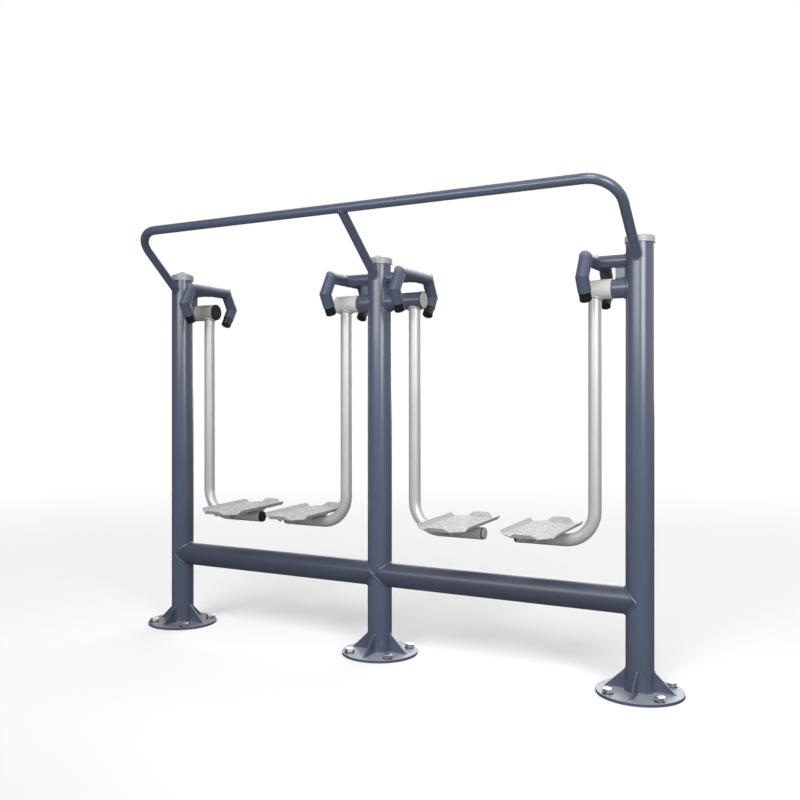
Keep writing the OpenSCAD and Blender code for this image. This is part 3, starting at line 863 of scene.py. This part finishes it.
def frameSeams():
    paths = []
    for x in layout["posts"]:
        paths.append((postFoot(x), "foot"))
        paths += [(gussetSeam(x, turnDeg), "gusset") for turnDeg in gusset["turnsDeg"]]
        paths.append((legOnPost(x), "rail"))
    for x, side in layout["stations"].values():
        paths.append((postCope(x, side, layout["beamZ"], layout["postR"]), "beam"))
    paths.append((strutOnRail(), "rail"))
    forkZ = layout["hubZ"] + layout["forkRise"]
    for x, side in layout["stations"].values():
        paths.append((postCope(x, side, layout["hubZ"], layout["hubR"]), "stub"))
        paths.append((postCope(x, side, forkZ, layout["forkR"]), "forkArm"))
        paths.append((webSeam(x, side), "web"))
        mitres, arm = forkSeams(x, side)
        paths += [(mitre, "mitre") for mitre in mitres]
        paths.append((arm, "forkArm"))
    return [(path, True, welds[kind]) for path, kind in paths]


def addWelds():
    tree = weldTree()
    values = {"Spacing": welds["spacing"], "Ripple": welds["ripple"],
              "Unevenness": welds["unevenness"], "Seed": welds["seed"]}
    growPiece("frame_weld_beads", tree, seamMesh("frameSeams", frameSeams()),
              {**values, "Finish": finishes["frame_paint"]}, "frame")
    for station, (x, side) in layout["stations"].items():
        saddle, bearers = armSeams(x, side)
        seams = [(saddle, True, welds["saddle"])]
        seams += [(path, False, welds["bearer"]) for path in bearers]
        growPiece(f"arm_weld_beads_{station}", tree, seamMesh(f"armSeams{station}", seams),
                  {**values, "Finish": finishes["arm_paint"]}, f"swing_arm_{station}")


addWelds()
print("stage: weld beads")


# anchor bolts on the base plates

anchors = {
    "circleR": 0.114,
    "turnsDeg": (45, 135, 225, 315),
    "acrossFlats": 0.030,
    "headHeight": 0.0125,
    "headSides": 6,
    "washerDiameter": 0.037,
    "washerHeight": 0.003,
    "washerSides": 40,
    # where the chamfers begin, as shares of the height, and the radius at the top, as shares
    # of the width across flats and of the washer's radius
    "headChamferShare": 0.82,
    "headTopShare": 0.47,
    "washerChamferShare": 0.75,
    "washerTopShare": 0.965,
    "mergeWithin": 0.00005,
    "edgeWidth": 0.0005,
    "edgeSegments": 2,
    "edgeFromDeg": 25,
    "roughness": 0.26,
    "seed": 11,
}


def anchorTree():
    tree, given, out = newTree("anchorBolt", {
        "Across flats": "Float", "Head height": "Float", "Washer diameter": "Float",
        "Washer height": "Float", "Seed": "Int", "Finish": "Material",
    })
    add, link = tree.nodes.new, tree.links.new

    def lift(geometry, height):
        raised = add("GeometryNodeTransform")
        shift = add("ShaderNodeCombineXYZ")
        feed(tree, height, shift.inputs["Z"])
        link(geometry, raised.inputs["Geometry"])
        link(shift.outputs[0], raised.inputs["Translation"])
        return raised.outputs["Geometry"]

    def lid(sides, radius):
        disc = add("GeometryNodeMeshCircle")
        disc.fill_type = "NGON"
        disc.inputs["Vertices"].default_value = sides
        link(radius, disc.inputs["Radius"])
        return disc.outputs["Mesh"]

    # one closed body from its rings, from the bottom up: radius and height of each
    def lathe(sides, rings):
        walls = add("GeometryNodeJoinGeometry")
        for (lowR, lowZ), (highR, highZ) in zip(rings, rings[1:]):
            cone = add("GeometryNodeMeshCone")
            cone.fill_type = "NONE"
            cone.inputs["Vertices"].default_value = sides
            link(lowR, cone.inputs["Radius Bottom"])
            link(highR, cone.inputs["Radius Top"])
            link(addMath(tree, "SUBTRACT", highZ, lowZ), cone.inputs["Depth"])
            link(lift(cone.outputs["Mesh"], lowZ), walls.inputs["Geometry"])
        under = add("GeometryNodeFlipFaces")
        link(lift(lid(sides, rings[0][0]), rings[0][1]), under.inputs["Mesh"])
        link(under.outputs["Mesh"], walls.inputs["Geometry"])
        link(lift(lid(sides, rings[-1][0]), rings[-1][1]), walls.inputs["Geometry"])
        closed = add("GeometryNodeMergeByDistance")
        closed.inputs["Distance"].default_value = anchors["mergeWithin"]
        link(walls.outputs["Geometry"], closed.inputs["Geometry"])
        return closed.outputs["Geometry"]

    flats, headH = given.outputs["Across flats"], given.outputs["Head height"]
    washerR = addMath(tree, "MULTIPLY", given.outputs["Washer diameter"], 0.5)
    washerH = given.outputs["Washer height"]
    cornerShare = 0.5 / math.cos(math.radians(180 / anchors["headSides"]))
    cornerR = addMath(tree, "MULTIPLY", flats, cornerShare)
    chamferZ = addMath(tree, "MULTIPLY_ADD", headH, anchors["headChamferShare"], washerH)
    head = lathe(anchors["headSides"], [
        (cornerR, washerH),
        (cornerR, chamferZ),
        (addMath(tree, "MULTIPLY", flats, anchors["headTopShare"]),
         addMath(tree, "ADD", headH, washerH)),
    ])
    washer = lathe(anchors["washerSides"], [
        (washerR, 0.0),
        (washerR, addMath(tree, "MULTIPLY", washerH, anchors["washerChamferShare"])),
        (addMath(tree, "MULTIPLY", washerR, anchors["washerTopShare"]), washerH),
    ])
    joined = add("GeometryNodeJoinGeometry")
    for part in (head, washer):
        link(part, joined.inputs["Geometry"])
    points = add("GeometryNodeMeshToPoints")
    link(given.outputs["Geometry"], points.inputs["Mesh"])
    # each bolt is turned by chance, by up to one side of its head
    side = math.radians(360 / anchors["headSides"])
    yaw = add("ShaderNodeCombineXYZ")
    link(addChance(tree, 0.0, side, given.outputs["Seed"]), yaw.inputs["Z"])
    placed = add("GeometryNodeInstanceOnPoints")
    link(points.outputs["Points"], placed.inputs["Points"])
    link(joined.outputs["Geometry"], placed.inputs["Instance"])
    link(yaw.outputs[0], placed.inputs["Rotation"])
    closeTree(tree, placed.outputs["Instances"], given, out)
    return tree


def addAnchors():
    spots = []
    for x in layout["posts"]:
        for turnDeg in anchors["turnsDeg"]:
            turn = math.radians(turnDeg)
            spots.append((x + anchors["circleR"] * math.cos(turn),
                          anchors["circleR"] * math.sin(turn), layout["plateT"]))
    mesh = bpy.data.meshes.new("anchorSpots")
    mesh.from_pydata(spots, [], [])
    headsFrom = layout["plateT"] + anchors["washerHeight"]
    piece = growPiece("anchor_bolts", anchorTree(), mesh, {
        "Across flats": anchors["acrossFlats"],
        "Head height": anchors["headHeight"],
        "Washer diameter": anchors["washerDiameter"],
        "Washer height": anchors["washerHeight"],
        "Seed": anchors["seed"],
        # the dark washers are painted shade under the plated heads
        "Finish": twoToneFinish("anchorSteel", paints["washer"], paints["zinc"], headsFrom,
                                anchors["roughness"], "Z", metallic=1.0),
    }, "frame")
    bevel = piece.modifiers.new("brokenEdges", "BEVEL")
    bevel.width = anchors["edgeWidth"]
    bevel.segments = anchors["edgeSegments"]
    bevel.limit_method = "ANGLE"
    bevel.angle_limit = math.radians(anchors["edgeFromDeg"])


addAnchors()
print("stage: anchor bolts")


# grit grains of the anti-slip coat on the pedal floors

grains = {
    "perSquareMetre": 60000.0,
    "spacing": 0.0030,
    "radius": 0.0011,
    "sizeSpan": (0.55, 1.25),
    "flatness": 0.45,
    "roundness": 1,
    "seed": 23,
    # the gritted floor: half its width and length, its cut corners, and how high it lies
    "halfW": 0.080,
    "halfL": 0.172,
    "corner": 0.036,
    "lift": 0.0303,
}


def grainTree():
    tree, given, out = newTree("antiSlipGrain", {
        "Spacing": "Float", "Most per area": "Float", "Grain radius": "Float",
        "Flatness": "Float", "Seed": "Int", "Finish": "Material",
    })
    add, link = tree.nodes.new, tree.links.new
    scatter = add("GeometryNodeDistributePointsOnFaces")
    scatter.distribute_method = "POISSON"
    link(given.outputs["Geometry"], scatter.inputs["Mesh"])
    link(given.outputs["Spacing"], scatter.inputs["Distance Min"])
    link(given.outputs["Most per area"], scatter.inputs["Density Max"])
    link(given.outputs["Seed"], scatter.inputs["Seed"])
    grain = add("GeometryNodeMeshIcoSphere")
    grain.inputs["Subdivisions"].default_value = grains["roundness"]
    link(given.outputs["Grain radius"], grain.inputs["Radius"])
    scale = addChance(tree, *grains["sizeSpan"], given.outputs["Seed"])
    shape = add("ShaderNodeCombineXYZ")
    link(scale, shape.inputs["X"])
    link(scale, shape.inputs["Y"])
    link(addMath(tree, "MULTIPLY", scale, given.outputs["Flatness"]), shape.inputs["Z"])
    placed = add("GeometryNodeInstanceOnPoints")
    link(scatter.outputs["Points"], placed.inputs["Points"])
    link(grain.outputs["Mesh"], placed.inputs["Instance"])
    link(scatter.outputs["Rotation"], placed.inputs["Rotation"])
    link(shape.outputs[0], placed.inputs["Scale"])
    closeTree(tree, placed.outputs["Instances"], given, out)
    return tree


def addGrains():
    tree = grainTree()
    halfW, halfL, corner = grains["halfW"], grains["halfL"], grains["corner"]
    outline = [(-halfW, -halfL + corner), (-halfW + corner, -halfL),
               (halfW - corner, -halfL), (halfW, -halfL + corner),
               (halfW, halfL - corner), (halfW - corner, halfL),
               (-halfW + corner, halfL), (-halfW, halfL - corner)]
    tilt = Matrix.Rotation(math.radians(layout["panTiltDeg"]), 4, "X")
    for station, (x, side) in layout["stations"].items():
        seat = Matrix.Translation((x + side * layout["pedalX"], 0, layout["footZ"])) @ tilt
        spots = [tuple(seat @ Vector((across, along, grains["lift"])))
                 for across, along in outline]
        mesh = bpy.data.meshes.new(f"panFloor{station}")
        mesh.from_pydata(spots, [], [tuple(range(len(spots)))])
        growPiece(f"pedal_grains_{station}", tree, mesh, {
            "Spacing": grains["spacing"],
            "Most per area": grains["perSquareMetre"],
            "Grain radius": grains["radius"],
            "Flatness": grains["flatness"],
            "Seed": grains["seed"] + station,
            "Finish": finishes["pedal_coat"],
        }, f"swing_arm_{station}")


addGrains()
print("stage: anti-slip grains")
